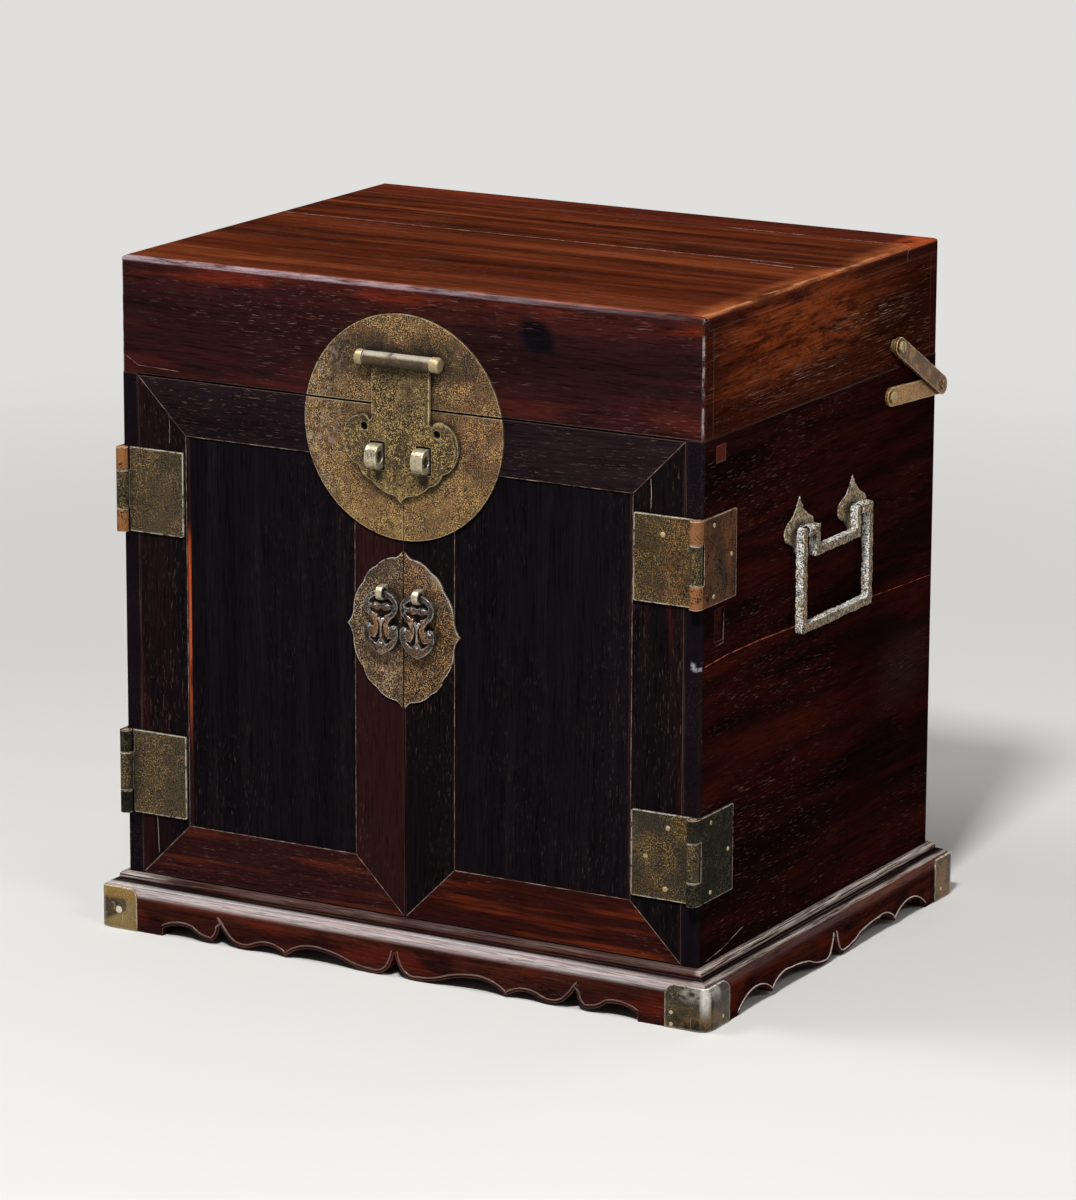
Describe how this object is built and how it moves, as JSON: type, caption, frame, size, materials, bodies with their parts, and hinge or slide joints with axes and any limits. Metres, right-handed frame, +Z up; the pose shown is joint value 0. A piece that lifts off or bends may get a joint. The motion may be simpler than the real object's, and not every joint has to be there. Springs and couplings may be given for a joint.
{
  "type": "small dressing chest",
  "caption": "Small tabletop wooden chest with a hinged box lid, mitred panelled doors, inner drawers, brass lock plate, hasp, hinges and bail handles.",
  "frame": {"origin": "on the floor under the middle of the chest", "axes": "+X to the chest's right as seen from the front, +Y to the back, +Z up"},
  "size_m": [0.3632, 0.2842, 0.3583],
  "materials": {
    "rosewood": "satin, open grain",
    "lid_wood": "satin, worn",
    "plinth_wood": "satin, rubbed",
    "door_wood": "satin, open grain",
    "panel_wood": "satin, near black",
    "inner_wood": "matt",
    "aged_brass": "mottled patina",
    "copper_brass": "worn, reddish",
    "dark_brass": "dark patina",
    "pale_brass": "weathered, pale"
  },
  "bodies": {
    "carcase": {"base_front": "plinth_wood", "base_back": "plinth_wood", "base_ends": "plinth_wood", "base_corner_mounts": "aged_brass", "carcase_floor": "inner_wood", "side_left": "rosewood", "side_right": "rosewood", "back_panel": "rosewood", "front_rail": "plinth_wood", "tray_floor": "inner_wood", "drawer_shelf": "inner_wood", "drawer_dividers": "inner_wood", "drawer_guides": "inner_wood", "door_hinge_side_leaves": "copper_brass", "hinge_pins": "copper_brass", "lid_hinge_case_leaves": "aged_brass", "handle_plates": "pale_brass", "handle_posts": "pale_brass", "stay_case_pin": "copper_brass"},
    "lid": {"lid_top_boards": "lid_wood", "lid_top_strip": "lid_wood", "lid_front": "rosewood", "lid_back": "rosewood", "lid_ends": "rosewood", "lid_hinge_lid_leaves": "aged_brass", "lock_plate_upper": "aged_brass", "hasp_bar": "aged_brass", "stay_lid_screw": "copper_brass"},
    "hasp": {"hasp": "aged_brass"},
    "left_door": {"left_door_stiles": "door_wood", "left_door_rails": "door_wood", "left_door_panel": "panel_wood", "left_lock_plate": "aged_brass", "left_pull_plate": "aged_brass", "left_lock_staple": "aged_brass", "left_pull_staple": "aged_brass", "left_door_leaves": "aged_brass"},
    "left_pendant": {"left_pendant": "dark_brass"},
    "left_bail": {"bail_left": "pale_brass"},
    "right_door": {"right_door_stiles": "door_wood", "right_door_rails": "door_wood", "right_door_panel": "panel_wood", "right_lock_plate": "aged_brass", "right_pull_plate": "aged_brass", "right_lock_staple": "aged_brass", "right_pull_staple": "aged_brass", "right_door_leaves": "aged_brass"},
    "right_pendant": {"right_pendant": "dark_brass"},
    "right_bail": {"bail_right": "pale_brass"},
    "stay_lower_link": {"stay_lower_link": "copper_brass"},
    "stay_upper_link": {"stay_upper_link": "copper_brass"},
    "upper_left_drawer": {"upper_left_drawer": "inner_wood", "upper_left_knob": "aged_brass"},
    "upper_right_drawer": {"upper_right_drawer": "inner_wood", "upper_right_knob": "aged_brass"},
    "lower_left_drawer": {"lower_left_drawer": "inner_wood", "lower_left_knob": "aged_brass"},
    "lower_right_drawer": {"lower_right_drawer": "inner_wood", "lower_right_knob": "aged_brass"}
  },
  "joints": [
    {"name": "lid_hinge", "type": "hinge", "parent": "carcase", "child": "lid", "pos_m": [0, 0.1339, 0.29715], "axis": [-1, 0, 0], "range_deg": [0, 118]},
    {"name": "hasp_swing", "type": "hinge", "parent": "lid", "child": "hasp", "pos_m": [0, -0.136, 0.321], "axis": [-1, 0, 0], "range_deg": [0, 150]},
    {"name": "left_door_hinge", "type": "hinge", "parent": "carcase", "child": "left_door", "pos_m": [-0.1682, -0.1339, 0.163], "axis": [0, 0, -1], "range_deg": [0, 240]},
    {"name": "left_pendant_swing", "type": "hinge", "parent": "left_door", "child": "left_pendant", "pos_m": [-0.0106, -0.1355, 0.2005], "axis": [-1, 0, 0], "range_deg": [-3, 85]},
    {"name": "left_bail_swing", "type": "hinge", "parent": "carcase", "child": "left_bail", "pos_m": [-0.1762, 0, 0.2335], "axis": [0, 1, 0], "range_deg": [0, 150]},
    {"name": "right_door_hinge", "type": "hinge", "parent": "carcase", "child": "right_door", "pos_m": [0.1682, -0.1339, 0.163], "axis": [0, 0, 1], "range_deg": [0, 240]},
    {"name": "right_pendant_swing", "type": "hinge", "parent": "right_door", "child": "right_pendant", "pos_m": [0.0106, -0.1355, 0.2005], "axis": [-1, 0, 0], "range_deg": [-3, 85]},
    {"name": "right_bail_swing", "type": "hinge", "parent": "carcase", "child": "right_bail", "pos_m": [0.1762, 0, 0.2335], "axis": [0, -1, 0], "range_deg": [0, 150]},
    {"name": "stay_lower_pivot", "type": "hinge", "parent": "carcase", "child": "stay_lower_link", "pos_m": [0.1713, 0.0735, 0.2833], "axis": [1, 0, 0], "range_deg": [0, 20.02]},
    {"name": "stay_upper_pivot", "type": "hinge", "parent": "lid", "child": "stay_upper_link", "pos_m": [0.1734, 0.0783, 0.3093], "axis": [1, 0, 0], "range_deg": [0, 11.18]},
    {"name": "upper_left_drawer_slide", "type": "slide", "parent": "carcase", "child": "upper_left_drawer", "axis": [0, -1, 0], "range_m": [0, 0.0923]},
    {"name": "upper_right_drawer_slide", "type": "slide", "parent": "carcase", "child": "upper_right_drawer", "axis": [0, -1, 0], "range_m": [0, 0.0923]},
    {"name": "lower_left_drawer_slide", "type": "slide", "parent": "carcase", "child": "lower_left_drawer", "axis": [0, -1, 0], "range_m": [0, 0.0923]},
    {"name": "lower_right_drawer_slide", "type": "slide", "parent": "carcase", "child": "lower_right_drawer", "axis": [0, -1, 0], "range_m": [0, 0.0923]}
  ],
  "couplings": [
    {"joint": "stay_lower_pivot", "follows": "lid_hinge", "ratio": 0.1696},
    {"joint": "stay_upper_pivot", "follows": "lid_hinge", "ratio": 0.0947},
    {"joint": "upper_left_drawer_slide", "follows": "left_door_hinge", "m_per_rad": 0.022},
    {"joint": "upper_right_drawer_slide", "follows": "right_door_hinge", "m_per_rad": 0.022},
    {"joint": "lower_left_drawer_slide", "follows": "left_door_hinge", "m_per_rad": 0.022},
    {"joint": "lower_right_drawer_slide", "follows": "right_door_hinge", "m_per_rad": 0.022}
  ]
}
